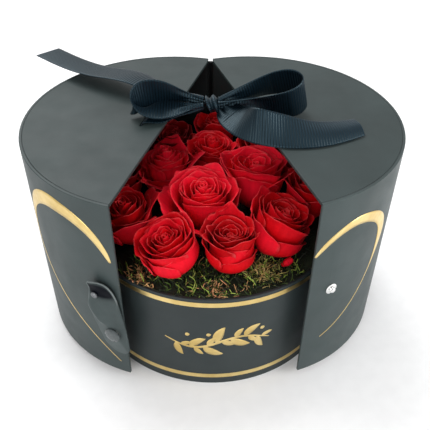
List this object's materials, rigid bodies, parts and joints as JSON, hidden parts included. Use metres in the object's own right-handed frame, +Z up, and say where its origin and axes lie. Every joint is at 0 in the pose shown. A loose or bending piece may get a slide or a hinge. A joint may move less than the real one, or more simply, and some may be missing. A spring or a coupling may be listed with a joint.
{
  "type": "flower box",
  "caption": "Round double-door flower box: a short drum filled with roses, two half-round doors hinged at the back, a ribbon bow on top and a snap strap.",
  "frame": {"origin": "centre of the drum's base, on the surface it stands on", "axes": "+Z up; the doors' front seam and the snap strap face -Y; the hinge spine is at +Y"},
  "size_m": [0.288, 0.2225, 0.2143],
  "materials": {
    "black_board": "matte wrapped paper, very dark green-grey",
    "gold_foil": "satin foil print",
    "clear_liner": "thin clear film",
    "floral_foam": "dull open-cell foam",
    "moss": "dry moss strands",
    "red_petal": "soft velvety petal",
    "green_stem": "satin green",
    "hinge_cloth": "matte cloth tape",
    "black_ribbon": "ribbed grosgrain with a faint sheen",
    "black_strap": "matte coated strap",
    "black_snap": "gloss black enamel",
    "silver_snap": "bright nickel"
  },
  "bodies": {
    "root": {"drum_wall": "black_board", "drum_base": "black_board", "upper_gold_band": "gold_foil", "lower_gold_band": "gold_foil", "drum_liner": "clear_liner", "foam_brick": "floral_foam", "moss_bed": "moss", "rose_stems": "green_stem", "rose_calyxes": "green_stem", "hinge_spine": "black_board", "bow_knot": "black_ribbon", "bow_loop_left": "black_ribbon", "bow_loop_right": "black_ribbon", "ribbon_strap_left": "black_ribbon", "ribbon_strap_right": "black_ribbon", "ribbon_tail_left": "black_ribbon", "ribbon_tail_right": "black_ribbon", "rose_front_left": "red_petal", "rose_front_middle": "red_petal", "rose_front_right": "red_petal", "rose_centre": "red_petal", "rose_inner_right": "red_petal", "rose_inner_left": "red_petal", "rose_left": "red_petal", "rose_inner_back": "red_petal", "rose_back_left": "red_petal", "rose_right": "red_petal", "rose_back_right": "red_petal", "rose_far_left": "red_petal", "rose_back": "red_petal", "rose_rear_left": "red_petal", "rose_rear_right": "red_petal"},
    "door_left": {"left_door_wall": "black_board", "left_door_top": "black_board", "left_hinge_tape": "hinge_cloth", "left_ribbon_anchor": "black_ribbon", "strap_rivet": "silver_snap", "rivet_washer": "silver_snap"},
    "door_right": {"right_door_wall": "black_board", "right_door_top": "black_board", "right_hinge_tape": "hinge_cloth", "right_ribbon_anchor": "black_ribbon", "snap_stud": "silver_snap", "stud_backing": "silver_snap"},
    "snap_strap": {"closing_strap": "black_strap", "snap_cap": "black_snap", "snap_socket": "silver_snap"}
  },
  "joints": [
    {"name": "left_door_hinge", "type": "hinge", "parent": "root", "child": "door_left", "pos_m": [-0.0016, 0.1104, 0.0915], "axis": [0, 0, -1], "range_deg": [-17.5, 27.5]},
    {"name": "right_door_hinge", "type": "hinge", "parent": "root", "child": "door_right", "pos_m": [0.0016, 0.1104, 0.0915], "axis": [0, 0, 1], "range_deg": [-17.5, 27.5]},
    {"name": "strap_pivot", "type": "hinge", "parent": "door_left", "child": "snap_strap", "pos_m": [-0.08372, -0.09312, 0.0942], "axis": [-0.4587, -0.8886, 0], "range_deg": [-20, 80]}
  ]
}
